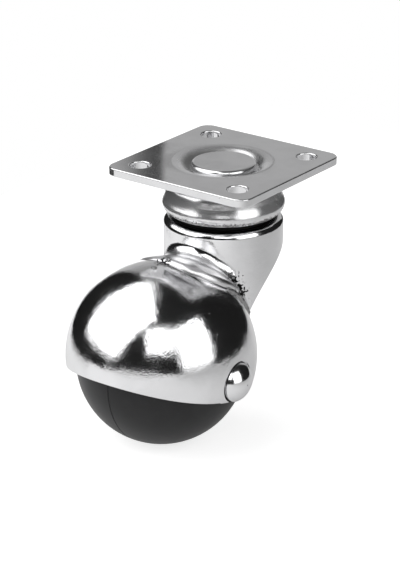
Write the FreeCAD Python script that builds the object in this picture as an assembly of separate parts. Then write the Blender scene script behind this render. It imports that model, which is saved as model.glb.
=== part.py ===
"""Ball castor with a square top plate: a swivelling hooded ball on two rows of bearing balls.

Millimetres. The origin is the centre of the plate's top face, +Z points up, the plate's edges
run along X and Y, the axle runs along X and the ball trails towards -Y.
"""
import FreeCAD
import Part
import math
import os

# Fixing plate
PLATE_SIDE = 40.0
PLATE_SHEET = 2.0
PLATE_CORNER_R = 3.0
PLATE_EDGE_R = 0.3
SCREW_EDGE_DISTANCE = 6.0
SCREW_HOLE_D = 5.0
SCREW_HOLE_EDGE_R = 0.3
DISH_DEPTH = 1.6
DISH_SLOPE_RUN = 2.0
DISH_FLOOR_BEND = 0.6
DISH_MOUTH_BEND = 4.0
DISH_FLAT_MARGIN = 2.4

# Kingpin
KINGPIN_HEAD_R = 7.75
KINGPIN_HEAD_ROOM = 0.4
KINGPIN_HEAD_SET = 0.1
KINGPIN_HEAD_EDGE_R = 0.8
KINGPIN_R = 4.0
KINGPIN_FIT = 0.05
PEEN_R = 6.0
PEEN_HEIGHT = 1.8
PEEN_EDGE = 0.5

# Bearing rows
UPPER_BALL_D = 4.0
UPPER_ROW_INSET = 2.5
LOWER_BALL_D = 3.2
LOWER_ROW_ROOM = 1.4
BALL_SPACING = 0.75
RACE_DEPTH_SHARE = 0.2
RACE_FIT = 0.05
LOWER_RACE_SHEET = 1.4
LOWER_RACE_RIM = 1.0
RACE_TO_CROWN_GAP = 1.1

# Bearing cup
CUP_SHEET = 1.2
CROWN_TO_LIP_GAP = 0.55
CUP_WAIST_FLARE = 0.8
CUP_WAIST_DROP = 4.4
CUP_MOUTH_FLARE = 1.0
CUP_FLARE_DROP = 2.55
CUP_LIP_INTURN = 1.3
CUP_LIP_FALL = 1.1
CUP_TOP_BEND = 1.8
CUP_WAIST_BEND = 6.0
CUP_MOUTH_BEND = 0.9

# Swivel neck
NECK_SHEET = 1.2
CROWN_BEND = 0.2
STEP_BEND = 0.4
SHOULDER_BEND = 0.5
SHOULDER_FLAT = 0.25
KINGPIN_ROOM = 0.6
CUP_TO_SHOULDER_GAP = 1.45
SHOULDER_TO_DOME = 5.25
BACK_SKIRT = 5.1
BACK_TRIM_R = 25.0
BACK_TRIM_BEHIND = 1.9
FLANGE_SHEET = 0.75
FLANGE_SKEW = 1.2
FLANGE_SIDE_INSET = 1.85
FLANGE_REACH = 9.05
FLANGE_CORNER_R = 9.0
FLANGE_EDGE_R = 1.5
FLANGE_EDGE_MARGIN = 0.35
FLANGE_FILLET = 2.4
WELD_GAP = 0.05

# Hood
TRAIL = 24.5
HOOD_SHEET = 1.4
HOOD_BALL_GAP = 1.0
DOME_RISE = 1.3
RIM_FRONT_LIFT = 2.0
RIM_BACK_DROP = 5.3
RIM_CURVE_R = 90.0
RIM_EDGE_SHARE = 0.36
EAR_FLAT_DEPTH = 0.95
EAR_FLAT_ROOM = 0.45

# Ball
BALL_R = 20.0
HUB_FLAT_DEPTH = 0.9
PARTING_WIDTH = 0.4
PARTING_DEPTH = 0.15

# Axle, bushes and caps
AXLE_R = 2.5
AXLE_FIT = 0.05
AXLE_END = 0.65
AXLE_CHAMFER = 0.4
BUSH_WALL = 1.1
BUSH_LENGTH = 9.0
BUSH_FLANGE = 0.95
BUSH_PRESS_GAP = 0.02
SIDE_PLAY = 0.25
CAP_OVERHANG = 2.1
CAP_SHEET = 0.4
CAP_SKIRT = 0.7
CAP_END_ROOM = 1.15
CAP_MOUTH_ROOM = 0.7
CAP_GAP = 0.05
RING_SHEET = 0.4
RING_TOOTH_RISE = 0.7
RING_TOOTH_LENGTH = 0.9
RING_TOOTH_COUNT = 6
RING_SLOT_WIDTH = 0.8
RING_BITE = 0.05

# Directions
UP = FreeCAD.Vector(0, 0, 1)
ALONG_AXLE = FreeCAD.Vector(1, 0, 0)
ACROSS_AXLE = FreeCAD.Vector(0, 1, 0)
ORIGIN = FreeCAD.Vector(0, 0, 0)

# Radii worked out from the kingpin outwards
UPPER_BALL_R = UPPER_BALL_D / 2
LOWER_BALL_R = LOWER_BALL_D / 2
LOWER_PITCH_R = KINGPIN_R + LOWER_ROW_ROOM + LOWER_BALL_R
LOWER_RACE_R = LOWER_PITCH_R + LOWER_BALL_R + LOWER_RACE_RIM
CROWN_R = LOWER_RACE_R + RACE_TO_CROWN_GAP + NECK_SHEET
UPPER_PITCH_R = CROWN_R - UPPER_ROW_INSET
NECK_R = CROWN_R + STEP_BEND + NECK_SHEET + SHOULDER_BEND + SHOULDER_FLAT
CUP_LIP_R = CROWN_R + CROWN_TO_LIP_GAP + CUP_SHEET
CUP_MOUTH_R = CUP_LIP_R + CUP_LIP_INTURN
CUP_WAIST_R = CUP_MOUTH_R - CUP_MOUTH_FLARE
CUP_TOP_R = CUP_WAIST_R - CUP_WAIST_FLARE
FLANGE_HALF_WIDTH = NECK_R - FLANGE_SIDE_INSET
RIM_EDGE_R = HOOD_SHEET * RIM_EDGE_SHARE

# Levels worked out downwards from the plate's top face
DISH_FLOOR_Z = -DISH_DEPTH
DISH_FLOOR_R = KINGPIN_HEAD_R + KINGPIN_HEAD_ROOM
DISH_MOUTH_R = DISH_FLOOR_R + DISH_SLOPE_RUN
DISH_FLAT_R = DISH_MOUTH_R + DISH_FLAT_MARGIN
CUP_TOP_Z = DISH_FLOOR_Z - PLATE_SHEET
CUP_ROOF_Z = CUP_TOP_Z - CUP_SHEET
UPPER_RACE_DEPTH = UPPER_BALL_R * RACE_DEPTH_SHARE
LOWER_RACE_DEPTH = LOWER_BALL_R * RACE_DEPTH_SHARE
UPPER_BALL_Z = CUP_ROOF_Z - UPPER_BALL_R + UPPER_RACE_DEPTH
CROWN_Z = UPPER_BALL_Z - UPPER_BALL_R + UPPER_RACE_DEPTH
LOWER_BALL_Z = CROWN_Z - NECK_SHEET - LOWER_BALL_R + LOWER_RACE_DEPTH
LOWER_RACE_Z = LOWER_BALL_Z - LOWER_BALL_R + LOWER_RACE_DEPTH
PEEN_Z = LOWER_RACE_Z - LOWER_RACE_SHEET
CUP_WAIST_Z = CUP_TOP_Z - CUP_WAIST_DROP
CUP_MOUTH_Z = CUP_WAIST_Z - CUP_FLARE_DROP
CUP_LIP_Z = CUP_MOUTH_Z - CUP_LIP_FALL
SHOULDER_Z = CUP_LIP_Z - CUP_TO_SHOULDER_GAP
SHOULDER_FOOT_Z = SHOULDER_Z - NECK_SHEET - SHOULDER_BEND - STEP_BEND
HOOD_INNER_R = BALL_R + HOOD_BALL_GAP
HOOD_R = HOOD_INNER_R + HOOD_SHEET
DOME_Z = SHOULDER_Z - SHOULDER_TO_DOME - HOOD_R
BALL_Z = DOME_Z - DOME_RISE
BALL_CENTRE = FreeCAD.Vector(0, -TRAIL, BALL_Z)
DOME_CENTRE = FreeCAD.Vector(0, -TRAIL, DOME_Z)

# Stations along the axle, from the ball's centre outwards
HUB_FACE = BALL_R - HUB_FLAT_DEPTH
BUSH_R = AXLE_R + AXLE_FIT + BUSH_WALL
EAR_FACE = HOOD_R - EAR_FLAT_DEPTH
EAR_INNER_FACE = EAR_FACE - HOOD_SHEET
CAP_R = AXLE_R + CAP_OVERHANG
CAP_BASE = EAR_FACE + CAP_GAP
CAP_FLOOR = CAP_BASE + CAP_SHEET
AXLE_TIP = CAP_FLOOR + RING_SHEET + RING_TOOTH_RISE + AXLE_END
CAP_TIP = AXLE_TIP + CAP_END_ROOM
CAP_DOME_HEIGHT = CAP_TIP - CAP_BASE - CAP_SKIRT
CAP_BEND_R = (CAP_R ** 2 + CAP_DOME_HEIGHT ** 2) / (2 * CAP_DOME_HEIGHT)
CAP_BEND_CENTRE = CAP_TIP - CAP_BEND_R
RING_TOP = CAP_FLOOR + RING_SHEET
RING_ROOM_R = math.sqrt((CAP_BEND_R - CAP_SHEET) ** 2 - (RING_TOP - CAP_BEND_CENTRE) ** 2)
RING_R = min(CAP_R - CAP_SHEET, RING_ROOM_R) - CAP_GAP
EAR_FLAT_R = CAP_R + EAR_FLAT_ROOM

# Tools for cutting and picking: a length beyond the whole castor, and what counts as on a face or upright
FAR = 2 * (TRAIL + HOOD_R)
EDGE_TOLERANCE = 0.01
UPRIGHT_SHARE = 0.5


def section_point(radius, height):
    """A point of a turned section, in the XZ plane."""
    return FreeCAD.Vector(radius, 0, height)


def rounded_path(corners, fillets):
    """Edges through the corners, with a tangent arc at each corner between the two ends."""
    edges = []
    start = corners[0]
    for before, corner, after, fillet in zip(corners, corners[1:], corners[2:], fillets):
        arriving = (corner - before).normalize()
        leaving = (after - corner).normalize()
        turn = arriving.getAngle(leaving)
        setback = fillet * math.tan(turn / 2)
        first = corner - arriving * setback
        last = corner + leaving * setback
        inward = (leaving - arriving).normalize()
        centre = corner + inward * (fillet / math.cos(turn / 2))
        edges.append(Part.LineSegment(start, first).toShape())
        edges.append(Part.Arc(first, centre - inward * fillet, last).toShape())
        start = last
    edges.append(Part.LineSegment(start, corners[-1]).toShape())
    return edges


def offset_corners(corners, distance):
    """The corners of the path that runs beside the given one, to its right in the XZ plane."""
    headings = [(b - a).normalize() for a, b in zip(corners, corners[1:])]
    rights = [FreeCAD.Vector(h.z, 0, -h.x) for h in headings]
    moved = [corners[0] + rights[0] * distance]
    for corner, right, next_right in zip(corners[1:], rights, rights[1:]):
        middle = (right + next_right).normalize()
        moved.append(corner + middle * (distance / middle.dot(right)))
    moved.append(corners[-1] + rights[-1] * distance)
    return moved


def sheet_section(corners, bends, sheet):
    """The face of a bent sheet: one side follows the corners, the metal is to its right.

    Each bend is the inside radius of its corner, on whichever side of the sheet that is.
    """
    fillets = []
    inner_fillets = []
    for before, corner, after, bend in zip(corners, corners[1:], corners[2:], bends):
        bends_right = (corner - before).cross(after - corner).y > 0
        fillets.append(bend + sheet if bends_right else bend)
        inner_fillets.append(bend if bends_right else bend + sheet)
    inner = offset_corners(corners, sheet)
    edges = rounded_path(corners, fillets)
    edges.append(Part.LineSegment(corners[-1], inner[-1]).toShape())
    edges += rounded_path(inner[::-1], inner_fillets[::-1])
    edges.append(Part.LineSegment(inner[0], corners[0]).toShape())
    return Part.Face(Part.Wire(Part.__sortEdges__(edges)))


def polygon_section(points):
    """The face inside a closed run of straight edges."""
    return Part.Face(Part.makePolygon(points + points[:1]))


def turned(face):
    """A section turned once about the Z axis."""
    return face.revolve(ORIGIN, UP, 360)


def ball_race(ball_radius, pitch_radius, height):
    """The ring that a row of balls sweeps, with its running clearance."""
    return Part.makeTorus(pitch_radius, ball_radius + RACE_FIT, FreeCAD.Vector(0, 0, height), UP)


def rises(edge):
    """Whether an edge runs up and down rather than level."""
    return abs(edge.tangentAt(edge.FirstParameter).z) > UPRIGHT_SHARE


def rounded_slab(side_x, front, back, corner_radius, low, high):
    """An upright slab, centred in X, with rounded upright edges."""
    slab = Part.makeBox(side_x, back - front, high - low, FreeCAD.Vector(-side_x / 2, front, low))
    return slab.makeFillet(corner_radius, [edge for edge in slab.Edges if rises(edge)])


def top_plate():
    """The pressed plate: flat square, screw holes and the dish that takes the kingpin's head."""
    half = PLATE_SIDE / 2
    plate = rounded_slab(PLATE_SIDE, -half, half, PLATE_CORNER_R, -PLATE_SHEET, 0)
    plate = plate.makeFillet(PLATE_EDGE_R, [edge for edge in plate.Edges if not rises(edge)])
    below = FreeCAD.Vector(0, 0, -PLATE_SHEET)
    plate = plate.cut(Part.makeCylinder(DISH_FLAT_R, PLATE_SHEET, below))
    dish = turned(sheet_section(
        [
            section_point(KINGPIN_R + KINGPIN_FIT, DISH_FLOOR_Z),
            section_point(DISH_FLOOR_R, DISH_FLOOR_Z),
            section_point(DISH_MOUTH_R, 0),
            section_point(DISH_FLAT_R, 0),
        ],
        [DISH_FLOOR_BEND, DISH_MOUTH_BEND],
        PLATE_SHEET,
    ))
    plate = plate.fuse(dish).removeSplitter()
    hole_offset = half - SCREW_EDGE_DISTANCE
    for x in (-hole_offset, hole_offset):
        for y in (-hole_offset, hole_offset):
            foot = FreeCAD.Vector(x, y, -PLATE_SHEET)
            plate = plate.cut(Part.makeCylinder(SCREW_HOLE_D / 2, PLATE_SHEET, foot))

    def on_hole_mouth(edge):
        if edge.Curve.TypeId != "Part::GeomCircle" or edge.BoundBox.ZMin < -EDGE_TOLERANCE:
            return False
        return abs(edge.Curve.Radius - SCREW_HOLE_D / 2) < EDGE_TOLERANCE

    mouths = [edge for edge in plate.Edges if on_hole_mouth(edge)]
    return plate.makeFillet(SCREW_HOLE_EDGE_R, mouths)


def kingpin():
    """The rivet: flat head in the dish, plain shank and a peened end under the lower race."""
    head_top = -KINGPIN_HEAD_SET
    head = Part.makeCylinder(KINGPIN_HEAD_R, head_top - DISH_FLOOR_Z, FreeCAD.Vector(0, 0, DISH_FLOOR_Z))
    rim = [e for e in head.Edges if e.BoundBox.ZMin > head_top - KINGPIN_HEAD_EDGE_R / 2]
    head = head.makeFillet(KINGPIN_HEAD_EDGE_R, rim)
    shank = Part.makeCylinder(KINGPIN_R, DISH_FLOOR_Z - PEEN_Z, FreeCAD.Vector(0, 0, PEEN_Z))
    dome_height = PEEN_HEIGHT - PEEN_EDGE
    rim_point = section_point(PEEN_R, PEEN_Z - PEEN_EDGE)
    tip = section_point(0, PEEN_Z - PEEN_HEIGHT)
    dome_radius = (PEEN_R ** 2 + dome_height ** 2) / (2 * dome_height)
    half_turn = math.asin(PEEN_R / dome_radius) / 2
    middle = section_point(
        dome_radius * math.sin(half_turn),
        PEEN_Z - PEEN_HEIGHT + dome_radius * (1 - math.cos(half_turn)),
    )
    peen = Part.Face(Part.Wire([
        Part.LineSegment(section_point(0, PEEN_Z), section_point(PEEN_R, PEEN_Z)).toShape(),
        Part.LineSegment(section_point(PEEN_R, PEEN_Z), rim_point).toShape(),
        Part.Arc(rim_point, middle, tip).toShape(),
        Part.LineSegment(tip, section_point(0, PEEN_Z)).toShape(),
    ]))
    return head.fuse([shank, turned(peen)]).removeSplitter()


def bearing_cup():
    """The drawn cup under the plate: flat roof, flared wall and a lip that turns in a little."""
    cup = turned(sheet_section(
        [
            section_point(KINGPIN_R + KINGPIN_FIT, CUP_TOP_Z),
            section_point(CUP_TOP_R, CUP_TOP_Z),
            section_point(CUP_WAIST_R, CUP_WAIST_Z),
            section_point(CUP_MOUTH_R, CUP_MOUTH_Z),
            section_point(CUP_LIP_R, CUP_LIP_Z),
        ],
        [CUP_TOP_BEND, CUP_WAIST_BEND, CUP_MOUTH_BEND],
        CUP_SHEET,
    ))
    return cup.cut(ball_race(UPPER_BALL_R, UPPER_PITCH_R, UPPER_BALL_Z))


def lower_race():
    """The pressed washer under the lower balls, with their groove in its top face."""
    washer = turned(polygon_section([
        section_point(KINGPIN_R + KINGPIN_FIT, LOWER_RACE_Z),
        section_point(LOWER_RACE_R, LOWER_RACE_Z),
        section_point(LOWER_RACE_R, PEEN_Z),
        section_point(KINGPIN_R + KINGPIN_FIT, PEEN_Z),
    ]))
    return washer.cut(ball_race(LOWER_BALL_R, LOWER_PITCH_R, LOWER_BALL_Z))


def bearing_balls(prefix, pitch_radius, radius, height):
    """One row of loose balls, by name: as many as the row has room for."""
    count = math.floor(2 * math.pi * pitch_radius / (2 * radius + BALL_SPACING))
    balls = {}
    for number in range(count):
        angle = 2 * math.pi * number / count
        centre = FreeCAD.Vector(pitch_radius * math.cos(angle), pitch_radius * math.sin(angle), height)
        balls[f"{prefix}_{number + 1:02d}"] = Part.makeSphere(radius, centre)
    return balls


def edges_where(shape, test):
    """The real edges of a shape whose middle point passes a test."""
    found = []
    for edge in shape.Edges:
        if edge.Degenerated:
            continue
        middle = edge.valueAt((edge.FirstParameter + edge.LastParameter) / 2)
        if test(middle):
            found.append(edge)
    return found


def saddle_slab(inset, bottom):
    """The upright slab whose outline the saddle has in plan, drawn in by an inset."""
    return rounded_slab(
        2 * (FLANGE_HALF_WIDTH - inset), inset - NECK_R - FLANGE_REACH, FAR,
        FLANGE_CORNER_R - inset, bottom, SHOULDER_Z,
    )


def neck_blank(bottom):
    """The neck's outer form before it is hollowed: a column that flows into the saddle on the dome.

    The saddle stands off the dome more on the right than on the left.
    """
    saddle_radius = HOOD_R + WELD_GAP + FLANGE_SHEET
    saddle_centre = DOME_CENTRE + ALONG_AXLE * FLANGE_SKEW

    def on_saddle(point):
        return abs(point.distanceToPoint(saddle_centre) - saddle_radius) < EDGE_TOLERANCE

    def on_column(point):
        return abs(math.hypot(point.x, point.y) - NECK_R) < EDGE_TOLERANCE

    ball_of_saddle = Part.makeSphere(saddle_radius, saddle_centre)
    saddle = saddle_slab(0, bottom).common(ball_of_saddle)
    rim = edges_where(saddle, lambda point: on_saddle(point) and point.z > bottom + EDGE_TOLERANCE)
    saddle = saddle.makeFillet(FLANGE_EDGE_R, rim)
    foot = FreeCAD.Vector(0, 0, SHOULDER_Z - FAR)
    column = Part.makeCylinder(NECK_R, FAR, foot)
    blank = column.fuse(ball_of_saddle)
    seam = edges_where(blank, lambda point: on_saddle(point) and on_column(point))
    blank = blank.makeFillet(FLANGE_FILLET, seam)
    upright = Part.makeCylinder(NECK_R, SHOULDER_Z - bottom, FreeCAD.Vector(0, 0, bottom))
    blank = blank.common(saddle_slab(FLANGE_EDGE_R + FLANGE_EDGE_MARGIN, bottom).fuse(upright))
    return blank.fuse(saddle).removeSplitter()


def swivel_neck():
    """The drawn neck: grooved crown, rounded shoulder, wall trimmed open at the back and a flange."""
    bottom = DOME_Z
    neck_path = [
        section_point(KINGPIN_R + KINGPIN_ROOM, CROWN_Z),
        section_point(CROWN_R, CROWN_Z),
        section_point(CROWN_R, SHOULDER_Z),
        section_point(NECK_R, SHOULDER_Z),
        section_point(NECK_R, bottom),
    ]
    wall = turned(sheet_section(neck_path, [CROWN_BEND, STEP_BEND, SHOULDER_BEND], NECK_SHEET))
    skirt_height = SHOULDER_FOOT_Z - bottom
    hollow = Part.makeCylinder(NECK_R - NECK_SHEET, skirt_height, FreeCAD.Vector(0, 0, bottom))
    below_shoulder = Part.makeBox(2 * FAR, 2 * FAR, skirt_height, FreeCAD.Vector(-FAR, -FAR, bottom))
    skirt = neck_blank(bottom).common(below_shoulder).cut(hollow)
    neck = wall.fuse(skirt).removeSplitter()
    neck = neck.cut(Part.makeSphere(HOOD_R + WELD_GAP, DOME_CENTRE))
    trim_axis = FreeCAD.Vector(-FAR, NECK_R + BACK_TRIM_BEHIND, SHOULDER_Z - BACK_SKIRT - BACK_TRIM_R)
    neck = neck.cut(Part.makeCylinder(BACK_TRIM_R, 2 * FAR, trim_axis, ALONG_AXLE))
    neck = neck.cut(ball_race(UPPER_BALL_R, UPPER_PITCH_R, UPPER_BALL_Z))
    return neck.cut(ball_race(LOWER_BALL_R, LOWER_PITCH_R, LOWER_BALL_Z))


def rim_cutter():
    """What is cut away below the hood's rim: a slanting curve, seen from the side, swept across it."""
    front = -TRAIL - HOOD_R
    back = -TRAIL + HOOD_R
    front_z = BALL_Z + RIM_FRONT_LIFT
    back_z = BALL_Z - RIM_BACK_DROP
    chord = FreeCAD.Vector(0, back - front, back_z - front_z)
    sagitta = RIM_CURVE_R - math.sqrt(RIM_CURVE_R ** 2 - (chord.Length / 2) ** 2)
    down = FreeCAD.Vector(0, chord.z, -chord.y).normalize()
    start = FreeCAD.Vector(0, front, front_z)
    end = FreeCAD.Vector(0, back, back_z)
    middle = (start + end) / 2 + down * sagitta
    margin = ACROSS_AXLE * HOOD_R
    corners = [
        end,
        end + margin,
        end + margin - UP * FAR,
        start - margin - UP * FAR,
        start - margin,
        start,
    ]
    edges = [Part.Arc(start, middle, end).toShape()]
    for a, b in zip(corners, corners[1:]):
        edges.append(Part.LineSegment(a, b).toShape())
    side_view = Part.Face(Part.Wire(edges))
    side_view.translate(ALONG_AXLE * -FAR)
    return side_view.extrude(ALONG_AXLE * 2 * FAR)


def ear_press(radius, face, side):
    """The round punch that presses a flat into one side of the dome at the axle's height."""
    centre = BALL_CENTRE + ALONG_AXLE * side * face
    return Part.makeCylinder(radius, HOOD_R, centre, ALONG_AXLE * side)


def hood():
    """The drawn dome, trimmed along its rim, with a pierced flat for each end of the axle."""
    below_rim = rim_cutter()
    dome = Part.makeSphere(HOOD_R, DOME_CENTRE).cut(below_rim)
    shell = dome.cut(Part.makeSphere(HOOD_INNER_R, DOME_CENTRE))
    rim = edges_where(shell, lambda point: point.z < DOME_Z + HOOD_INNER_R / 2)
    shell = shell.makeFillet(RIM_EDGE_R, rim)
    for side in (1, -1):
        backing = ear_press(EAR_FLAT_R + HOOD_SHEET, EAR_INNER_FACE, side)
        shell = shell.fuse(backing.common(dome))
        shell = shell.cut(ear_press(EAR_FLAT_R, EAR_FACE, side))
    hole_start = BALL_CENTRE - ALONG_AXLE * FAR
    shell = shell.cut(Part.makeCylinder(AXLE_R + AXLE_FIT, 2 * FAR, hole_start, ALONG_AXLE))
    return shell.removeSplitter()


def on_axle(shape, side):
    """Stand a piece that was turned about Z on the axle, facing out at the +X (1) or -X (-1) end."""
    shape.rotate(ORIGIN, ACROSS_AXLE, 90 * side)
    shape.translate(BALL_CENTRE)
    return shape


def axle():
    """The plain axle with chamfered ends."""
    rod = Part.makeCylinder(AXLE_R, 2 * AXLE_TIP, FreeCAD.Vector(0, 0, -AXLE_TIP))
    ends = [e for e in rod.Edges if e.Closed and abs(e.BoundBox.ZLength) < EDGE_TOLERANCE]
    return on_axle(rod.makeChamfer(AXLE_CHAMFER, ends), 1)


def ball_wheel():
    """The moulded ball: flat hub faces, a bore for the bushes and a fine parting groove."""
    bore = BUSH_R + BUSH_PRESS_GAP
    hub_r = math.sqrt(BALL_R ** 2 - HUB_FACE ** 2)
    groove_half = PARTING_WIDTH / 2
    lip_r = math.sqrt(BALL_R ** 2 - groove_half ** 2)
    edges = []
    for side in (1, -1):
        hub = section_point(hub_r, side * HUB_FACE)
        lip = section_point(lip_r, side * groove_half)
        middle_angle = (math.asin(HUB_FACE / BALL_R) + math.asin(groove_half / BALL_R)) / 2
        middle = section_point(BALL_R * math.cos(middle_angle), side * BALL_R * math.sin(middle_angle))
        edges.append(Part.LineSegment(section_point(bore, side * HUB_FACE), hub).toShape())
        edges.append(Part.Arc(hub, middle, lip).toShape())
        edges.append(Part.LineSegment(lip, section_point(BALL_R - PARTING_DEPTH, 0)).toShape())
    edges.append(Part.LineSegment(section_point(bore, -HUB_FACE), section_point(bore, HUB_FACE)).toShape())
    ball = turned(Part.Face(Part.Wire(Part.__sortEdges__(edges))))
    return on_axle(ball, 1)


def hub_bush(side):
    """A flanged bush pressed into one end of the ball's bore."""
    flange_face = EAR_INNER_FACE - SIDE_PLAY
    flange_r = BUSH_R + BUSH_FLANGE
    inner = AXLE_R + AXLE_FIT
    bush = turned(polygon_section([
        section_point(inner, HUB_FACE - BUSH_LENGTH),
        section_point(BUSH_R, HUB_FACE - BUSH_LENGTH),
        section_point(BUSH_R, HUB_FACE),
        section_point(flange_r, HUB_FACE),
        section_point(flange_r, flange_face),
        section_point(inner, flange_face),
    ]))
    return on_axle(bush, side)


def cap_dome_section(inset):
    """Half of a cap's section, with the outside moved in by an inset."""
    radius = CAP_BEND_R - inset
    side_r = CAP_R - inset
    side_angle = math.asin(side_r / radius)
    base = CAP_BASE + inset
    side = section_point(side_r, CAP_BEND_CENTRE + radius * math.cos(side_angle))
    middle = section_point(
        radius * math.sin(side_angle / 2),
        CAP_BEND_CENTRE + radius * math.cos(side_angle / 2),
    )
    tip = section_point(0, CAP_BEND_CENTRE + radius)
    return Part.Face(Part.Wire([
        Part.LineSegment(section_point(0, base), section_point(side_r, base)).toShape(),
        Part.LineSegment(section_point(side_r, base), side).toShape(),
        Part.Arc(side, middle, tip).toShape(),
        Part.LineSegment(tip, section_point(0, base)).toShape(),
    ]))


def axle_cap(side):
    """A drawn dome with a short skirt, crimped in at its foot to hold the toothed ring."""
    shell = turned(cap_dome_section(0)).cut(turned(cap_dome_section(CAP_SHEET)))
    mouth = Part.makeCylinder(AXLE_R + CAP_MOUTH_ROOM, CAP_SHEET, FreeCAD.Vector(0, 0, CAP_BASE))
    return on_axle(shell.cut(mouth), side)


def toothed_ring(side):
    """The spring ring inside a cap: a flat rim with teeth that bite on the axle."""
    floor = CAP_FLOOR
    root_r = AXLE_R + RING_TOOTH_LENGTH
    bite_r = AXLE_R - RING_BITE
    ring = turned(polygon_section([
        section_point(RING_R, floor),
        section_point(RING_R, RING_TOP),
        section_point(root_r, RING_TOP),
        section_point(bite_r, RING_TOP + RING_TOOTH_RISE),
        section_point(bite_r, floor + RING_TOOTH_RISE),
        section_point(root_r, floor),
    ]))
    for number in range(RING_TOOTH_COUNT):
        slot = Part.makeBox(
            root_r, RING_SLOT_WIDTH, 2 * RING_TOOTH_RISE + RING_SHEET,
            FreeCAD.Vector(0, -RING_SLOT_WIDTH / 2, floor),
        )
        slot.rotate(ORIGIN, UP, 360 * number / RING_TOOTH_COUNT)
        ring = ring.cut(slot)
    return on_axle(ring, side)


def export(parts):
    """Write each node to its own file."""
    os.makedirs("parts", exist_ok=True)
    for name, shape in parts.items():
        shape.exportStep(f"parts/{name}.step")


def main():
    """Make every piece of the castor and write it."""
    parts = {
        "top_plate": top_plate(),
        "kingpin": kingpin(),
        "bearing_cup": bearing_cup(),
        "lower_race": lower_race(),
        "swivel_neck": swivel_neck(),
        "hood": hood(),
        "axle": axle(),
        "ball_wheel": ball_wheel(),
    }
    for name, side in (("left", -1), ("right", 1)):
        parts[f"{name}_hub_bush"] = hub_bush(side)
        parts[f"{name}_axle_cap"] = axle_cap(side)
        parts[f"{name}_toothed_ring"] = toothed_ring(side)
    parts |= bearing_balls("upper_ball", UPPER_PITCH_R, UPPER_BALL_R, UPPER_BALL_Z)
    parts |= bearing_balls("lower_ball", LOWER_PITCH_R, LOWER_BALL_R, LOWER_BALL_Z)
    export(parts)


main()
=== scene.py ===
"""Looks of the ball castor: plated pressings, a dark moulded ball and the studio around them.

Everything is in metres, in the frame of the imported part: the origin is the centre of the plate's
top face, +Z points up, the axle runs along X and the ball trails towards -Y.
"""
import logging
import math
import random
from dataclasses import dataclass, field
from enum import Enum
from typing import Any, Optional, Sequence, Union

import bmesh
import bpy
from mathutils import Matrix, Vector, noise


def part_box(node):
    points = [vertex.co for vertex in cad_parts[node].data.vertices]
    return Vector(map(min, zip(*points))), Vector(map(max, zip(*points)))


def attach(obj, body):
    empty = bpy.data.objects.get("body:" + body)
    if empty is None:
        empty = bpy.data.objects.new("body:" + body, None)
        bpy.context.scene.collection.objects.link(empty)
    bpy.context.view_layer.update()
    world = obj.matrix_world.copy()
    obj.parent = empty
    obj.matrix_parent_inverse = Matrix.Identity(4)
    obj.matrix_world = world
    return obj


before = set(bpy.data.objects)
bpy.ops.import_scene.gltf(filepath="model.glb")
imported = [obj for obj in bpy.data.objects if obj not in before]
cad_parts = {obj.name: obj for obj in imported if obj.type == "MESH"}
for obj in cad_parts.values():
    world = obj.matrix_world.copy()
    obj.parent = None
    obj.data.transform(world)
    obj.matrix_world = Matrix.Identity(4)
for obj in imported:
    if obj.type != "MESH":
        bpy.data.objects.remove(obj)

MM = 0.001
MICRON = 0.000001
# Farther out than any piece of the castor.
FAR = 1.0
ORIGIN = (0.0, 0.0, 0.0)
DOME_CENTRE = (0.0, -24.5 * MM, -40.75 * MM)
AXLE_CENTRE = (0.0, -24.5 * MM, -42.05 * MM)
UP = Vector((0.0, 0.0, 1.0))
# Mean of a soft noise and of a random draw.
MEAN = 0.5
# The full core of a speck, as a share of its radius.
SPECK_CORE = 0.4
# How much bluer bright metal is than a neutral grey.
SILVER_BLUE = 0.01
# Places of a colour Mix node's sockets, whose names repeat for each type of data.
MIX_SHARE = 0
MIX_START = 6
MIX_END = 7
MIX_RESULT = 2
LOG = logging.getLogger("ball_castor")

Colour = tuple[float, float, float]
Input = Union["Signal", bpy.types.NodeSocket, float, Sequence[float]]


class Lustre(Enum):
    """How bright a plated surface is, as the roughness of its mirror."""

    GLASSY = 0.02
    MIRROR = 0.10
    BRIGHT = 0.14
    SATIN = 0.19
    DULL = 0.27


class Detail(Enum):
    """How many finer layers a noise has."""

    PLAIN = 0.0
    SOFT = 1.0
    MEDIUM = 2.0
    FINE = 3.0
    RICH = 4.0


class About(Enum):
    """What a round zone lies about, as the axes that its distances are measured along."""

    POINT = (1.0, 1.0, 1.0)
    UPRIGHT_LINE = (1.0, 1.0, 0.0)
    AXLE_LINE = (0.0, 1.0, 1.0)


class Side(Enum):
    """A side of the castor, as its sign along the axle."""

    LEFT = -1
    RIGHT = 1

    def named(self, piece: str) -> str:
        """The name of this side's own piece."""
        return f"{self.name.lower()}_{piece}"


def grey(level: float) -> Colour:
    """A neutral grey."""
    return (level, level, level)


def silver(level: float) -> Colour:
    """The grey of bright metal, a little bluer than neutral."""
    return (level, level, level + SILVER_BLUE)


def axes_at(heading: float, lift: float) -> tuple[Vector, Vector, Vector]:
    """Find the directions of a viewer who stands off the castor and looks back at it.

    Args:
        heading: degrees from the front, -Y, towards the right, +X.
        lift: degrees above the level.

    Returns:
        The viewer's rightward and upward directions, and the one from the castor to the viewer.
    """
    turn = math.radians(heading)
    tilt = math.radians(lift)
    level = Vector((math.sin(turn), -math.cos(turn), 0.0))
    rightward = Vector((math.cos(turn), math.sin(turn), 0.0))
    upward = UP * math.cos(tilt) - level * math.sin(tilt)
    outward = level * math.cos(tilt) + UP * math.sin(tilt)
    return rightward, upward, outward


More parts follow.
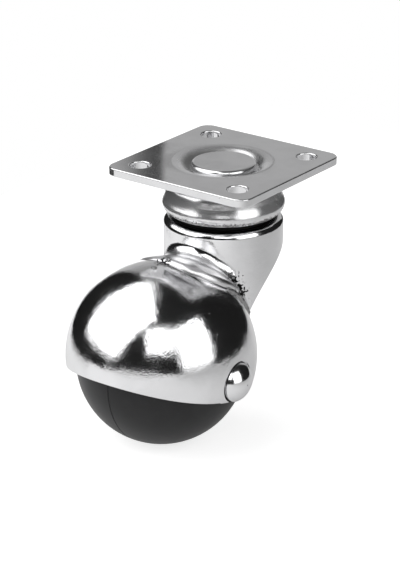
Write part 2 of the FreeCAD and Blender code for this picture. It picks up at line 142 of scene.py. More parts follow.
class Signal:
    """One value of a shader, with arithmetic that adds Math nodes."""

    def __init__(self, bench: "NodeBench", socket: bpy.types.NodeSocket) -> None:
        """Wrap a socket of a bench's tree."""
        self.bench = bench
        self.socket = socket

    def _math(self, operation: str, first: Input, second: Input) -> "Signal":
        """Add one Math node.

        Args:
            operation: the node's operation.
            first: its first value.
            second: its second value.

        Returns:
            The node's result.
        """
        made = self.bench.node("ShaderNodeMath", {"operation": operation}, {0: first, 1: second})
        return Signal(self.bench, made.outputs["Value"])

    def __add__(self, other: Input) -> "Signal":
        """Sum."""
        return self._math("ADD", self, other)

    def __radd__(self, other: Input) -> "Signal":
        """Sum, reflected."""
        return self._math("ADD", other, self)

    def __sub__(self, other: Input) -> "Signal":
        """Difference."""
        return self._math("SUBTRACT", self, other)

    def __rsub__(self, other: Input) -> "Signal":
        """Difference, reflected."""
        return self._math("SUBTRACT", other, self)

    def __mul__(self, other: Input) -> "Signal":
        """Product."""
        return self._math("MULTIPLY", self, other)

    def __rmul__(self, other: Input) -> "Signal":
        """Product, reflected."""
        return self._math("MULTIPLY", other, self)

    def __truediv__(self, other: Input) -> "Signal":
        """Quotient."""
        return self._math("DIVIDE", self, other)

    def __rtruediv__(self, other: Input) -> "Signal":
        """Quotient, reflected."""
        return self._math("DIVIDE", other, self)

    def at_least(self, low: float) -> "Signal":
        """The value, or a floor where it is lower."""
        return self._math("MAXIMUM", self, low)

    def at_most(self, high: float) -> "Signal":
        """The value, or a ceiling where it is higher."""
        return self._math("MINIMUM", self, high)

    def rise(self, start: float, end: float) -> "Signal":
        """A smooth step.

        Args:
            start: where it is still 0.
            end: where it is already 1; below start, the step falls instead.

        Returns:
            The step, from 0 to 1.
        """
        made = self.bench.node(
            "ShaderNodeMapRange",
            {"interpolation_type": "SMOOTHSTEP"},
            {"Value": self, "From Min": start, "From Max": end},
        )
        return Signal(self.bench, made.outputs["Result"])


class NodeBench:
    """A node tree while it is being filled."""

    def __init__(self, tree: bpy.types.NodeTree) -> None:
        """Take a tree and empty it."""
        self.tree = tree
        tree.nodes.clear()

    def node(
        self,
        kind: str,
        settings: Optional[dict[str, Any]] = None,
        inputs: Optional[dict[Union[str, int], Input]] = None,
    ) -> bpy.types.Node:
        """Add one node.

        Args:
            kind: the node's type.
            settings: properties that are set first.
            inputs: values or links of its sockets, by name or place.

        Returns:
            The new node.
        """
        made = self.tree.nodes.new(kind)
        for name, value in (settings or {}).items():
            setattr(made, name, value)
        for key, value in (inputs or {}).items():
            if isinstance(value, Signal):
                self.tree.links.new(value.socket, made.inputs[key])
            elif isinstance(value, bpy.types.NodeSocket):
                self.tree.links.new(value, made.inputs[key])
            else:
                made.inputs[key].default_value = value
        return made

    def value(
        self,
        kind: str,
        output: str,
        settings: Optional[dict[str, Any]] = None,
        inputs: Optional[dict[Union[str, int], Input]] = None,
    ) -> Signal:
        """Add one node and wrap one of its outputs.

        Args:
            kind: the node's type.
            output: the name of the output.
            settings: properties that are set first.
            inputs: values or links of its sockets.

        Returns:
            The output as a signal.
        """
        return Signal(self, self.node(kind, settings, inputs).outputs[output])

    def object_point(self) -> bpy.types.NodeSocket:
        """The point of the surface in the part's frame, in metres."""
        return self.node("ShaderNodeTexCoord").outputs["Object"]

    def ray_kinds(self) -> tuple[Signal, Signal]:
        """Tell what the camera sees from what mirrors and clear things show.

        Returns:
            1 for a camera ray, and 1 for a glossy or transmission ray.
        """
        path = self.node("ShaderNodeLightPath")
        seen = Signal(self, path.outputs["Is Camera Ray"])
        glossy = Signal(self, path.outputs["Is Glossy Ray"])
        return seen, glossy + Signal(self, path.outputs["Is Transmission Ray"])

    def stretched(
        self,
        point: bpy.types.NodeSocket,
        scale: Sequence[float],
        turn: Sequence[float] = (0.0, 0.0, 0.0),
    ) -> bpy.types.NodeSocket:
        """Stretch and turn a pattern.

        Args:
            point: where the pattern is read.
            scale: repeats for each metre along the three axes.
            turn: rotation in radians about the three axes.

        Returns:
            The point to give to a texture whose features are 1 wide.
        """
        made = self.node(
            "ShaderNodeMapping",
            {"vector_type": "POINT"},
            {"Vector": point, "Rotation": turn, "Scale": scale},
        )
        return made.outputs["Vector"]

    def noise(self, point: bpy.types.NodeSocket, detail: Detail, size: float = 1.0) -> Signal:
        """Soft noise about its mean.

        Args:
            point: where it is read.
            detail: how many finer layers it has.
            size: width of its features, in the point's units.

        Returns:
            The noise.
        """
        return self.value(
            "ShaderNodeTexNoise", "Fac", None,
            {"Vector": point, "Scale": 1.0 / size, "Detail": detail.value},
        )

    def specks(self, point: bpy.types.NodeSocket, spacing: float, share: float) -> Signal:
        """Scattered round specks.

        Args:
            point: where they are read.
            spacing: their mean distance, in metres.
            share: a speck's radius as a share of the spacing.

        Returns:
            1 in a speck and 0 elsewhere.
        """
        distance = self.value(
            "ShaderNodeTexVoronoi", "Distance", {"feature": "F1"},
            {"Vector": point, "Scale": 1.0 / spacing},
        )
        return distance.rise(share, share * SPECK_CORE)

    def distance_from(
        self, point: bpy.types.NodeSocket, centre: Sequence[float], about: About
    ) -> Signal:
        """How far a surface point is from a centre, or from a line through it.

        Args:
            point: the surface point.
            centre: the centre.
            about: whether the centre itself counts or a line, and which way the line runs.

        Returns:
            The distance, in metres.
        """
        offset = self.node(
            "ShaderNodeVectorMath", {"operation": "SUBTRACT"}, {0: point, 1: centre}
        ).outputs["Vector"]
        counted = self.node(
            "ShaderNodeVectorMath", {"operation": "MULTIPLY"}, {0: offset, 1: about.value}
        ).outputs["Vector"]
        return self.value("ShaderNodeVectorMath", "Value", {"operation": "LENGTH"}, {0: counted})

    def dot(self, direction: bpy.types.NodeSocket, axis: Vector) -> Signal:
        """How far a direction goes along an axis.

        Args:
            direction: the direction.
            axis: the axis, of length 1.

        Returns:
            The length along the axis.
        """
        return self.value(
            "ShaderNodeVectorMath", "Value", {"operation": "DOT_PRODUCT"}, {0: direction, 1: axis}
        )

    def blend(
        self, share: Signal, start: Union[Colour, bpy.types.NodeSocket], end: Colour
    ) -> bpy.types.NodeSocket:
        """Mix two colours.

        Args:
            share: 0 for the first, 1 for the second.
            start: the first colour, or a socket that gives it.
            end: the second colour.

        Returns:
            The mixed colour.
        """
        first = start if isinstance(start, bpy.types.NodeSocket) else (*start, 1.0)
        made = self.node(
            "ShaderNodeMix", {"data_type": "RGBA"},
            {MIX_SHARE: share, MIX_START: first, MIX_END: (*end, 1.0)},
        )
        return made.outputs[MIX_RESULT]

    def relief(self, height: Signal) -> bpy.types.NodeSocket:
        """A bumped normal from a height in metres."""
        made = self.node("ShaderNodeBump", None, {"Height": height, "Distance": 1.0, "Strength": 1.0})
        return made.outputs["Normal"]

    def surface(self, inputs: dict[Union[str, int], Input]) -> None:
        """Close a material with one Principled shader."""
        shader = self.node("ShaderNodeBsdfPrincipled", None, inputs)
        self.node("ShaderNodeOutputMaterial", None, {"Surface": shader.outputs["BSDF"]})


def new_material(name: str) -> tuple[bpy.types.Material, NodeBench]:
    """Start a material.

    Args:
        name: its name.

    Returns:
        The material and the bench for its nodes.
    """
    material = bpy.data.materials.new(name)
    material.use_nodes = True
    return material, NodeBench(material.node_tree)


@dataclass(frozen=True)
class Zone:
    """A round part of a surface, between two distances from a line or point and between two heights.

    Its edges fade over a width, and patches of noise make them uneven.
    """

    centre: Sequence[float]
    about: About
    outer: float
    inner: float = -FAR
    low: float = -FAR
    high: float = FAR
    fade: float = 0.12 * MM
    uneven: float = 0.25 * MM
    patch: float = 0.8 * MM

    def mask(self, bench: NodeBench, point: bpy.types.NodeSocket) -> Signal:
        """How far a point is in the zone.

        Args:
            bench: the material's bench.
            point: the surface point.

        Returns:
            1 in the zone and 0 outside it.
        """
        ragged = (bench.noise(point, Detail.FINE, self.patch) - MEAN) * self.uneven
        distance = bench.distance_from(point, self.centre, self.about) + ragged
        height = bench.dot(point, UP) + ragged
        inside = distance.rise(self.outer + self.fade, self.outer - self.fade)
        inside = inside * distance.rise(self.inner - self.fade, self.inner + self.fade)
        inside = inside * height.rise(self.low - self.fade, self.low + self.fade)
        return inside * height.rise(self.high + self.fade, self.high - self.fade)


def burn(x: float, y: float, z: float, radius: float) -> Zone:
    """A burnt, speckled patch beside a weld.

    Args:
        x: its middle along the axle, in millimetres.
        y: its middle from front to back, in millimetres.
        z: its middle's height, in millimetres.
        radius: its mean radius, in millimetres.

    Returns:
        The patch.
    """
    return Zone(
        (x * MM, y * MM, z * MM), About.POINT, radius * MM,
        fade=0.35 * MM, uneven=9.0 * MM, patch=0.6 * MM,
    )


# The wall of the plate's dish, which deep drawing left duller.
DISH_WALL = Zone(ORIGIN, About.UPRIGHT_LINE, 12.6 * MM, inner=7.0 * MM, fade=2.4 * MM)
# Painted shade in the dish, darker at the left of the kingpin's head, standing in for a dark
# reflection.
DISH_PAINTED_SHADE = Zone(
    (-1.5 * MM, 0.2 * MM, 0.0), About.UPRIGHT_LINE, 8.7 * MM,
    fade=0.9 * MM, uneven=1.0 * MM, patch=1.5 * MM,
)
# Painted shade on the turned-in lip of the bearing cup, for the dark gap that it faces down into.
CUP_LIP_PAINTED_SHADE = Zone(
    ORIGIN, About.UPRIGHT_LINE, 15.5 * MM, low=-11.40 * MM, high=-10.80 * MM,
    uneven=3.0 * MM, patch=0.5 * MM,
)
# Painted shade on the neck's crown, in the gap under the bearing cup.
NECK_CROWN_PAINTED_SHADE = Zone(ORIGIN, About.UPRIGHT_LINE, 12.5 * MM, low=-13.4 * MM)
# The saddle on the dome, which deep drawing left duller.
SADDLE = Zone(DOME_CENTRE, About.POINT, 24.6 * MM, fade=0.9 * MM)
# Painted shadow in the seam between the hood and each axle cap.
CAP_SEAM_PAINTED_SHADOW = Zone(AXLE_CENTRE, About.AXLE_LINE, 4.9 * MM, fade=0.05 * MM, uneven=0.1 * MM)
# Burnt specks beside the two beads and the front tack.
BURNS = (
    burn(11.0, -10.0, -27.7, 2.3),
    burn(-11.0, -10.0, -27.7, 2.3),
    burn(10.4, -10.6, -24.6, 1.3),
    burn(-10.4, -10.6, -24.6, 1.3),
    burn(-0.2, -22.9, -18.4, 1.2),
)


@dataclass(frozen=True)
class Plating:
    """Bright plating over drawn or pressed steel, with its grain, waves, haze, rub marks and pits.

    The film is the milky share of a passivated coat, which scatters light instead of mirroring it.
    The drawn zone is where deep drawing left the steel duller. The grime-and-shade zones are burnt
    specks and painted shade in gaps, seams and recesses. Limits are where a noise starts to show and
    where it shows fully.
    """

    name: str
    tint: Colour
    lustre: Lustre
    film: float = 0.0
    grain_size: float = 0.35 * MM
    grain_height: float = 20.0 * MICRON
    grain_clear: float = 0.25
    grain_hazed: float = 1.75
    wave_size: float = 1.4 * MM
    wave_height: float = 30.0 * MICRON
    haze_size: float = 7.0 * MM
    haze_limits: Sequence[float] = (0.35, 0.72)
    haze_shade: float = 0.93
    haze_dullness: float = 0.05
    rub_width: float = 0.12 * MM
    rub_length: float = 9.0 * MM
    rub_depth: float = 0.6 * MICRON
    rub_dullness: float = 0.06
    upright_turn: Sequence[float] = (0.15, 0.1, 0.0)
    upright_limits: Sequence[float] = (0.70, 0.80)
    slanting_turn: Sequence[float] = (0.0, 0.5, 0.6)
    slanting_limits: Sequence[float] = (0.72, 0.82)
    pit_spacing: float = 4.5 * MM
    pit_share: float = 0.035
    pit_depth: float = 12.0 * MICRON
    pit_dullness: float = 0.25
    # Zones darkened towards the tint below: burnt specks, and painted shade in gaps, seams and
    # recesses.
    grime_and_shade: Sequence[Zone] = ()
    grime_and_shade_tint: Colour = grey(0.012)
    grime_and_shade_dullness: float = 0.4
    drawn: Optional[Zone] = None
    drawn_dullness: float = 0.20

    def rubs(self, bench: NodeBench, point: bpy.types.NodeSocket) -> Signal:
        """Sparse fine rub marks in two directions.

        Args:
            bench: the material's bench.
            point: the surface point.

        Returns:
            1 along a mark and 0 elsewhere.
        """
        across = 1.0 / self.rub_width
        along = 1.0 / self.rub_length
        upright = bench.stretched(point, (across, across, along), self.upright_turn)
        slanting = bench.stretched(point, (along, across, across), self.slanting_turn)
        first = bench.noise(upright, Detail.PLAIN).rise(*self.upright_limits)
        second = bench.noise(slanting, Detail.PLAIN).rise(*self.slanting_limits)
        return (first + second).at_most(1.0)

    def material(self) -> bpy.types.Material:
        """Build the material.

        Returns:
            The new material.
        """
        material, bench = new_material(self.name)
        point = bench.object_point()
        haze = bench.noise(point, Detail.RICH, self.haze_size).rise(*self.haze_limits)
        grain = bench.noise(point, Detail.FINE, self.grain_size)
        grain = grain * (self.grain_clear + haze * self.grain_hazed)
        waves = bench.noise(point, Detail.SOFT, self.wave_size)
        rubs = self.rubs(bench, point)
        pits = bench.specks(point, self.pit_spacing, self.pit_share)
        height = grain * self.grain_height + waves * self.wave_height
        height = height - rubs * self.rub_depth - pits * self.pit_depth
        roughness = self.lustre.value + haze * self.haze_dullness
        roughness = roughness + rubs * self.rub_dullness + pits * self.pit_dullness
        hazed = tuple(channel * self.haze_shade for channel in self.tint)
        colour = bench.blend(haze, self.tint, hazed)
        # Each zone darkens the colour: burnt specks by the welds, and painted shade in gaps, seams and
        # recesses.
        for zone in self.grime_and_shade:
            dirt_and_shade = zone.mask(bench, point)
            colour = bench.blend(dirt_and_shade, colour, self.grime_and_shade_tint)
            roughness = roughness + dirt_and_shade * self.grime_and_shade_dullness
        if self.drawn:
            roughness = roughness + self.drawn.mask(bench, point) * self.drawn_dullness
        bench.surface({
            "Base Color": colour,
            "Metallic": 1.0 - self.film,
            "Roughness": roughness,
            "Normal": bench.relief(height),
        })
        return material


@dataclass(frozen=True)
class PlainSteel:
    """Bare steel with stains and the fine lines that drawing, turning or grinding leaves."""

    name: str
    tint: Colour
    roughness: float
    line_scale: Sequence[float]
    line_height: float = 0.8 * MICRON
    line_dullness: float = 0.1
    stain_size: float = 3.0 * MM
    stain_limits: Sequence[float] = (0.4, 0.75)
    stain_shade: float = 0.72
    stain_dullness: float = 0.08

    def material(self) -> bpy.types.Material:
        """Build the material.

        Returns:
            The new material.
        """
        material, bench = new_material(self.name)
        point = bench.object_point()
        lines = bench.noise(bench.stretched(point, self.line_scale), Detail.MEDIUM)
        stain = bench.noise(point, Detail.FINE, self.stain_size).rise(*self.stain_limits)
        darker = tuple(channel * self.stain_shade for channel in self.tint)
        bench.surface({
            "Base Color": bench.blend(stain, self.tint, darker),
            "Metallic": 1.0,
            "Roughness": self.roughness + lines * self.line_dullness + stain * self.stain_dullness,
            "Normal": bench.relief(lines * self.line_height),
        })
        return material


@dataclass(frozen=True)
class Moulding:
    """A moulded plastic with a spark-eroded skin, faint flow marks and a little dust."""

    name: str
    tint: Colour
    dusty: Colour
    roughness: float
    sheen: float = 0.33
    skin_size: float = 0.16 * MM
    skin_height: float = 2.2 * MICRON
    flow_size: float = 6.0 * MM
    flow_limits: Sequence[float] = (0.3, 0.75)
    flow_shade: float = 0.12
    flow_dullness: float = 0.07
    dust_spacing: float = 3.2 * MM
    dust_share: float = 0.035
    dust_shade: float = 0.5
    dust_dullness: float = 0.2

    def material(self) -> bpy.types.Material:
        """Build the material.

        Returns:
            The new material.
        """
        material, bench = new_material(self.name)
        point = bench.object_point()
        skin = bench.noise(point, Detail.MEDIUM, self.skin_size)
        flow = bench.noise(point, Detail.RICH, self.flow_size).rise(*self.flow_limits)
        dust = bench.specks(point, self.dust_spacing, self.dust_share)
        shade = (flow * self.flow_shade + dust * self.dust_shade).at_most(1.0)
        bench.surface({
            "Base Color": bench.blend(shade, self.tint, self.dusty),
            "Roughness": self.roughness + flow * self.flow_dullness + dust * self.dust_dullness,
            "Specular IOR Level": self.sheen,
            "Normal": bench.relief(skin * self.skin_height),
        })
        return material


@dataclass(frozen=True)
class Softbox:
    """A flat lit panel or wall of the studio, so far from the castor that only its direction counts.

    Heading and lift are in degrees, and the sides are measured from its middle on a panel 1 m away.
    The sides may lean, the right one more in its lower half. A low_fade of 0 lets the lower edge fade
    like the others. Least_depth and facing leave directions that turn away from it dark.
    """

    heading: float
    lift: float
    left: float
    right: float
    low: float
    high: float
    edge: float
    strength: float
    top_change: float = 0.0
    left_lean: float = 0.0
    right_lean: float = 0.0
    low_right_lean: float = 0.0
    low_fade: float = 0.0
    least_depth: float = 0.05
    facing: Sequence[float] = (0.0, 0.1)

    def glow(self, bench: NodeBench, direction: bpy.types.NodeSocket) -> Signal:
        """The panel's light in a direction.

        Args:
            bench: the sky's bench.
            direction: where the ray goes.

        Returns:
            The light, 0 outside the panel.
        """
        rightward, upward, outward = axes_at(self.heading, self.lift)
        depth = bench.dot(direction, outward)
        scale = depth.at_least(self.least_depth)
        across = bench.dot(direction, rightward) / scale
        height = bench.dot(direction, upward) / scale
        past_left = across - height * self.left_lean
        past_right = across - height * self.right_lean - height.at_most(0.0) * self.low_right_lean
        low_fade = self.low_fade or self.edge
        inside = past_left.rise(self.left - self.edge, self.left + self.edge)
        inside = inside * past_right.rise(self.right + self.edge, self.right - self.edge)
        inside = inside * height.rise(self.low - low_fade, self.low + low_fade)
        inside = inside * height.rise(self.high + self.edge, self.high - self.edge)
        inside = inside * depth.rise(*self.facing)
        climb = height.rise(self.low, self.high)
        return inside * (self.strength + climb * self.top_change)


@dataclass
class FixingPlate:
    """The pressed plate and the kingpin that is riveted in its dish."""

    # The plate's dish carries painted shade at one side of the kingpin's head.
    plate: Plating = Plating(
        "plate_plating", silver(0.80), Lustre.GLASSY, film=0.10, haze_dullness=0.015,
        grain_height=0.1 * MICRON, wave_size=9.0 * MM, wave_height=6.0 * MICRON, rub_depth=0.5 * MICRON,
        grime_and_shade=(DISH_PAINTED_SHADE,), grime_and_shade_tint=grey(0.28), drawn=DISH_WALL,
    )
    pin: Plating = Plating(
        "pin_plating", silver(0.80), Lustre.BRIGHT, film=0.10,
        grain_height=1.5 * MICRON, wave_height=4.0 * MICRON,
    )

    def dress(self) -> None:
        """Give the plate and the kingpin their finishes."""
        dress_node("top_plate", self.plate.material())
        dress_node("kingpin", self.pin.material())


@dataclass
class SwivelBearing:
    """The cup under the plate, the lower race and the two rows of balls."""

    # The cup's turned-in lip carries painted shade.
    cup: Plating = Plating(
        "cup_plating", silver(0.86), Lustre.SATIN, film=0.20, grain_height=8.0 * MICRON,
        grime_and_shade=(CUP_LIP_PAINTED_SHADE,), grime_and_shade_tint=grey(0.22),
    )
    steel: PlainSteel = PlainSteel(
        "bearing_steel", silver(0.62), roughness=0.14, line_scale=(900.0, 900.0, 5000.0)
    )

    def dress(self) -> None:
        """Give the cup, the race and every ball their finishes."""
        dress_node("bearing_cup", self.cup.material())
        ground = self.steel.material()
        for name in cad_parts:
            if name == "lower_race" or name.startswith(("upper_ball", "lower_ball")):
                dress_node(name, ground)


@dataclass
class WeldSeam:
    """The beads that hold the saddle's sides to the dome, with their ripples and spatter.

    Angles go round the dome's centre from the back, +Y, over the top.
    """

    dome_radius: float = 22.4 * MM
    offset: float = 12.7 * MM
    first_angle: float = math.radians(21.0)
    last_angle: float = math.radians(63.0)
    bead_radius: float = 0.75 * MM
    ring_points: int = 10
    rings: int = 30
    ring_reach: float = 0.25
    ripple: float = 0.35
    end_share: float = 0.25
    taper_rings: float = 4.0
    lump_size: float = 0.5 * MM
    lump_height: float = 0.12 * MM
    droplets: int = 9
    droplet_radius: float = 0.2 * MM
    droplet_least: float = 0.5
    droplet_spread: float = 2.6 * MM
    droplet_inward: float = 0.3
    droplet_detail: int = 2
    tack_place: Sequence[float] = (-0.1 * MM, -26.9 * MM)
    tack_radius: float = 0.6 * MM
    tack_stretch: Sequence[float] = (1.4, 0.9, 0.55)
    tack_detail: int = 3
    seed: int = 7

    @property
    def sweep(self) -> float:
        """The angle that a bead covers."""
        return self.last_angle - self.first_angle

    def on_dome(self, x: float, y: float) -> Vector:
        """The point of the dome above a place in plan.

        Args:
            x: the place along the axle.
            y: the place from front to back.

        Returns:
            The point.
        """
        centre = Vector(DOME_CENTRE)
        rise = self.dome_radius ** 2 - (x - centre.x) ** 2 - (y - centre.y) ** 2
        return Vector((x, y, centre.z + math.sqrt(rise)))

    def at_angle(self, x: float, angle: float) -> Vector:
        """The point of the dome on an upright section.

        Args:
            x: the section's place along the axle.
            angle: how far round from the back, in radians.

        Returns:
            The point.
        """
        centre = Vector(DOME_CENTRE)
        reach = math.sqrt(self.dome_radius ** 2 - x ** 2)
        return centre + Vector((x, reach * math.cos(angle), reach * math.sin(angle)))

    def roughen(self, mesh: bmesh.types.BMesh) -> None:
        """Push the vertices in and out by a fixed noise and shade the faces smooth.

        Args:
            mesh: the bead or tack.
        """
        noise.seed_set(self.seed)
        for vert in mesh.verts:
            vert.co += noise.noise_vector(vert.co / self.lump_size) * self.lump_height
        for face in mesh.faces:
            face.smooth = True
        bmesh.ops.recalc_face_normals(mesh, faces=mesh.faces[:])

    def ring_at(self, mesh: bmesh.types.BMesh, angle: float) -> list[bmesh.types.BMVert]:
        """The bead's vertices at one angle.

        Args:
            mesh: the bead.
            angle: how far round from the back, in radians.

        Returns:
            The vertices of that ring.
        """
        near = self.sweep / self.rings * self.ring_reach
        centre = Vector(DOME_CENTRE)
        return [
            vert for vert in mesh.verts
            if abs(math.atan2(vert.co.z - centre.z, vert.co.y - centre.y) - angle) < near
        ]

    def ripple_rings(self, mesh: bmesh.types.BMesh, x: float, draw: random.Random) -> None:
        """Make the rings of a bead uneven and taper its ends.

        Args:
            mesh: the bead.
            x: its place along the axle.
            draw: where the random draws come from.
        """
        for step in range(self.rings + 1):
            angle = self.first_angle + self.sweep * step / self.rings
            end = min(step, self.rings - step) / self.taper_rings
            share = min(1.0, self.end_share + end) * (1.0 + self.ripple * (draw.random() - MEAN))
            bmesh.ops.scale(
                mesh, vec=(share, share, share), verts=self.ring_at(mesh, angle),
                space=Matrix.Translation(-self.at_angle(x, angle)),
            )

    def spatter(self, mesh: bmesh.types.BMesh, side: Side, draw: random.Random) -> None:
        """Scatter droplets beside a bead, most of them away from the saddle.

        Args:
            mesh: the bead.
            side: the side that it is on.
            draw: where the random draws come from.
        """
        for _ in range(self.droplets):
            away = side.value * (draw.random() - self.droplet_inward) * self.droplet_spread
            angle = self.first_angle + self.sweep * draw.random()
            place = self.at_angle(side.value * self.offset + away, angle)
            size = self.droplet_radius * (self.droplet_least + draw.random())
            bmesh.ops.create_icosphere(
                mesh, subdivisions=self.droplet_detail, radius=size, matrix=Matrix.Translation(place)
            )

    def bead(self, side: Side) -> bmesh.types.BMesh:
        """Lay one rippled bead with tapered ends and the droplets beside it.

        Args:
            side: the side that it is on.

        Returns:
            The bead.
        """
        draw = random.Random(self.seed + side.value)
        mesh = bmesh.new()
        x = side.value * self.offset
        place = Matrix.Translation(self.at_angle(x, self.first_angle))
        turn = Matrix.Rotation(self.first_angle, 4, "X")
        bmesh.ops.create_circle(
            mesh, segments=self.ring_points, radius=self.bead_radius, matrix=place @ turn
        )
        bmesh.ops.spin(
            mesh, geom=mesh.verts[:] + mesh.edges[:], cent=DOME_CENTRE, axis=(1.0, 0.0, 0.0),
            angle=self.sweep, steps=self.rings, use_merge=False,
        )
        self.ripple_rings(mesh, x, draw)
        bmesh.ops.holes_fill(mesh, edges=[edge for edge in mesh.edges if edge.is_boundary])
        self.spatter(mesh, side, draw)
        self.roughen(mesh)
        return mesh

    def tack(self) -> bmesh.types.BMesh:
        """Set a small lumpy tack on the saddle's front edge.

        Returns:
            The tack.
        """
        mesh = bmesh.new()
        place = Matrix.Translation(self.on_dome(*self.tack_place))
        shape = place @ Matrix.Diagonal((*self.tack_stretch, 1.0))
        bmesh.ops.create_icosphere(
            mesh, subdivisions=self.tack_detail, radius=self.tack_radius, matrix=shape
        )
        self.roughen(mesh)
        return mesh


@dataclass
class HoodedFork:
    """The neck, the hood welded under it, the axle and its two push-on caps with their rings."""

    # The neck carries painted shade on its crown under the cup, and burnt specks by the welds.
    neck: Plating = Plating(
        "neck_plating", silver(0.84), Lustre.MIRROR, grime_and_shade=(NECK_CROWN_PAINTED_SHADE, *BURNS), drawn=SADDLE
    )
    # The hood carries a painted shadow in the seam round each cap, and burnt specks by the welds.
    hood: Plating = Plating(
        "hood_plating", silver(0.84), Lustre.MIRROR, grime_and_shade=(CAP_SEAM_PAINTED_SHADOW, *BURNS)
    )
    cap: Plating = Plating("cap_plating", silver(0.86), Lustre.BRIGHT, grain_height=2.0 * MICRON)
    weld: Plating = Plating(
        "weld_plating", grey(0.36), Lustre.DULL, film=0.1,
        grain_size=0.3 * MM, grain_height=90.0 * MICRON, pit_spacing=0.9 * MM, pit_share=0.2,
    )
    seam: WeldSeam = field(default_factory=WeldSeam)
    axle: PlainSteel = PlainSteel(
        "axle_steel", silver(0.52), roughness=0.22, line_scale=(400.0, 9000.0, 9000.0)
    )
    ring: PlainSteel = PlainSteel(
        "spring_steel", (0.30, 0.29, 0.28), roughness=0.3, line_scale=(3000.0, 3000.0, 3000.0)
    )

    def build_welds(self) -> None:
        """Weld the saddle's two sides to the dome and tack its front edge."""
        finish = self.weld.material()
        pieces = {
            "left_weld": self.seam.bead(Side.LEFT),
            "right_weld": self.seam.bead(Side.RIGHT),
            "front_tack": self.seam.tack(),
        }
        for name, mesh in pieces.items():
            weld = object_from(mesh, name, finish)
            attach(weld, "hood")
            LOG.info("%s wears %s", name, finish.name)

    def dress(self) -> None:
        """Give the pieces of the fork their finishes."""
        dress_node("swivel_neck", self.neck.material())
        dress_node("hood", self.hood.material())
        cap = self.cap.material()
        ring = self.ring.material()
        for side in Side:
            dress_node(side.named("axle_cap"), cap)
            dress_node(side.named("toothed_ring"), ring)
        dress_node("axle", self.axle.material())


@dataclass
class BallWheel:
    """The moulded ball and the bushes in its bore."""

    ball: Moulding = Moulding("ball_moulding", (0.010, 0.010, 0.011), grey(0.08), roughness=0.38)
    bush: Moulding = Moulding(
        "bush_moulding", (0.55, 0.54, 0.50), (0.62, 0.61, 0.58), roughness=0.45
    )

    def dress(self) -> None:
        """Give the ball and its bushes their finishes."""
        dress_node("ball_wheel", self.ball.material())
        bush = self.bush.material()
        for side in Side:
            dress_node(side.named("hub_bush"), bush)


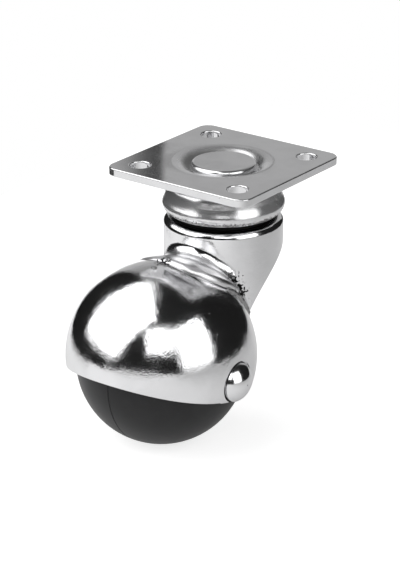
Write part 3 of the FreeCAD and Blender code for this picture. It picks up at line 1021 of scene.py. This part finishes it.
@dataclass
class Studio:
    """The camera, the pale floor and the lit panels and walls round the castor.

    The camera's heading and pitch are in degrees, and its sensor in millimetres.
    """

    camera_heading: float = 36.54
    camera_pitch: float = 22.54
    camera_place: Sequence[float] = (278.75 * MM, -385.5 * MM, 165.8 * MM)
    focal_pixels: float = 2142.0
    image_height: float = 570.0
    sensor_width: float = 36.0
    clip_start: float = 10.0 * MM
    clip_end: float = 20.0
    floor_left: float = -140.0 * MM
    floor_right: float = 1.5
    floor_front: float = -1.5
    floor_back: float = 200.0 * MM
    floor_gap: float = 0.02 * MM
    floor_tint: float = 0.56
    floor_glow: float = 0.75
    floor_mirror_glow: float = 0.27
    floor_mirror_slope: float = 2.2
    floor_mirror_most: float = 0.45
    floor_brighter_way: Sequence[float] = (-1.0, -1.0, 0.0)
    room: float = 0.012
    left_panel: Softbox = Softbox(
        heading=-50.0, lift=30.0, left=-0.62, right=0.68, low=-0.38, high=1.35, edge=0.09,
        strength=2.1, left_lean=-0.25, right_lean=0.08, low_fade=0.14,
    )
    camera_panel: Softbox = Softbox(
        heading=37.0, lift=40.0, left=-0.31, right=0.245, low=-0.29, high=0.25, edge=0.06,
        strength=2.0,
    )
    right_panel: Softbox = Softbox(
        heading=84.0, lift=20.0, left=-0.40, right=0.37, low=-0.32, high=0.62, edge=0.06,
        strength=2.0, right_lean=0.14, low_fade=0.13,
    )
    back_wall: Softbox = Softbox(
        heading=-175.0, lift=30.0, left=-0.19, right=0.5625, low=-0.60, high=0.74, edge=0.003,
        strength=0.50, top_change=-0.40, left_lean=-0.38, low_right_lean=-0.25,
    )
    back_strip: Softbox = Softbox(
        heading=-140.0, lift=10.0, left=-0.0245, right=0.25, low=-0.60, high=0.70, edge=0.0125,
        strength=0.72, top_change=-0.50,
    )
    backdrop: Softbox = Softbox(
        heading=-143.5, lift=-12.0, left=-0.30, right=0.30, low=-0.30, high=0.16, edge=0.05,
        strength=1.0,
    )

    def panels(self) -> Sequence[Softbox]:
        """The lit panels and walls, in the order that their light is added."""
        return (self.left_panel, self.camera_panel, self.right_panel, self.back_wall, self.back_strip)

    def build_camera(self) -> None:
        """Stand the camera where the photograph was taken from.

        The sensor's width lies along the picture's longer side, which is its height.
        """
        data = bpy.data.cameras.new("studio_camera")
        data.sensor_width = self.sensor_width
        data.lens = self.focal_pixels / self.image_height * self.sensor_width
        data.clip_start = self.clip_start
        data.clip_end = self.clip_end
        camera = bpy.data.objects.new("studio_camera", data)
        turn = Matrix(axes_at(self.camera_heading, self.camera_pitch)).transposed().to_4x4()
        camera.matrix_world = Matrix.Translation(self.camera_place) @ turn
        bpy.context.scene.collection.objects.link(camera)
        bpy.context.scene.camera = camera

    def build_floor(self) -> None:
        """Lay a pale sheet just under the ball."""
        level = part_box("ball_wheel")[0].z - self.floor_gap
        corners = (
            (self.floor_left, self.floor_front, level),
            (self.floor_right, self.floor_front, level),
            (self.floor_right, self.floor_back, level),
            (self.floor_left, self.floor_back, level),
        )
        mesh = bmesh.new()
        mesh.faces.new([mesh.verts.new(corner) for corner in corners])
        floor = object_from(mesh, "studio_floor", self.floor_material())

    def floor_material(self) -> bpy.types.Material:
        """A pale sheet that takes the castor's shadow, glows to the camera and less in mirrors.

        Returns:
            The new material.
        """
        material, bench = new_material("studio_floor")
        seen, mirrored = bench.ray_kinds()
        tint = (*grey(self.floor_tint), 1.0)
        paper = bench.node("ShaderNodeBsdfDiffuse", None, {"Color": tint})
        brighter = bench.dot(bench.object_point(), Vector(self.floor_brighter_way).normalized())
        mirror_glow = (brighter * self.floor_mirror_slope + self.floor_mirror_glow).at_least(0.0)
        glow = seen * self.floor_glow + mirrored * mirror_glow.at_most(self.floor_mirror_most)
        light = bench.node("ShaderNodeEmission", None, {"Strength": glow})
        both = bench.node(
            "ShaderNodeAddShader", None, {0: paper.outputs["BSDF"], 1: light.outputs["Emission"]}
        )
        bench.node("ShaderNodeOutputMaterial", None, {"Surface": both.outputs["Shader"]})
        return material

    def build_sky(self) -> None:
        """Put the lit panels, the dim room and the white backdrop behind the castor on the sky.

        The camera sees plain white. Mirrors and clear things also get the backdrop.
        """
        world = bpy.data.worlds.new("studio_sky")
        world.use_nodes = True
        bench = NodeBench(world.node_tree)
        direction = bench.node("ShaderNodeTexCoord").outputs["Generated"]
        light: Input = self.room
        for panel in self.panels():
            light = panel.glow(bench, direction) + light
        seen, mirrored = bench.ray_kinds()
        shown = light * (1.0 - seen) + seen + mirrored * self.backdrop.glow(bench, direction)
        background = bench.node("ShaderNodeBackground", None, {"Color": shown})
        bench.node("ShaderNodeOutputWorld", None, {"Surface": background.outputs["Background"]})
        bpy.context.scene.world = world

    def build(self) -> None:
        """Set up the whole studio."""
        self.build_camera()
        self.build_floor()
        self.build_sky()
        bpy.context.scene.view_settings.view_transform = "Standard"


def object_from(mesh: bmesh.types.BMesh, name: str, material: bpy.types.Material) -> bpy.types.Object:
    """Make an object of a bmesh.

    Args:
        mesh: the bmesh, which is freed.
        name: the object's name.
        material: its only material.

    Returns:
        The object, at the origin.
    """
    data = bpy.data.meshes.new(name)
    mesh.to_mesh(data)
    mesh.free()
    data.materials.append(material)
    made = bpy.data.objects.new(name, data)
    bpy.context.scene.collection.objects.link(made)
    return made


def dress_node(name: str, material: bpy.types.Material) -> None:
    """Give a solid of the frame its finish.

    Args:
        name: the node.
        material: its finish.
    """
    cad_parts[name].material_slots[0].material = material
    LOG.info("%s wears %s", name, material.name)


def main() -> None:
    """Dress the castor and set up the studio."""
    logging.basicConfig(level=logging.INFO, format="%(message)s")
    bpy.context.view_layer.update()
    FixingPlate().dress()
    SwivelBearing().dress()
    fork = HoodedFork()
    fork.dress()
    fork.build_welds()
    BallWheel().dress()
    Studio().build()


if __name__ == "__main__":
    main()
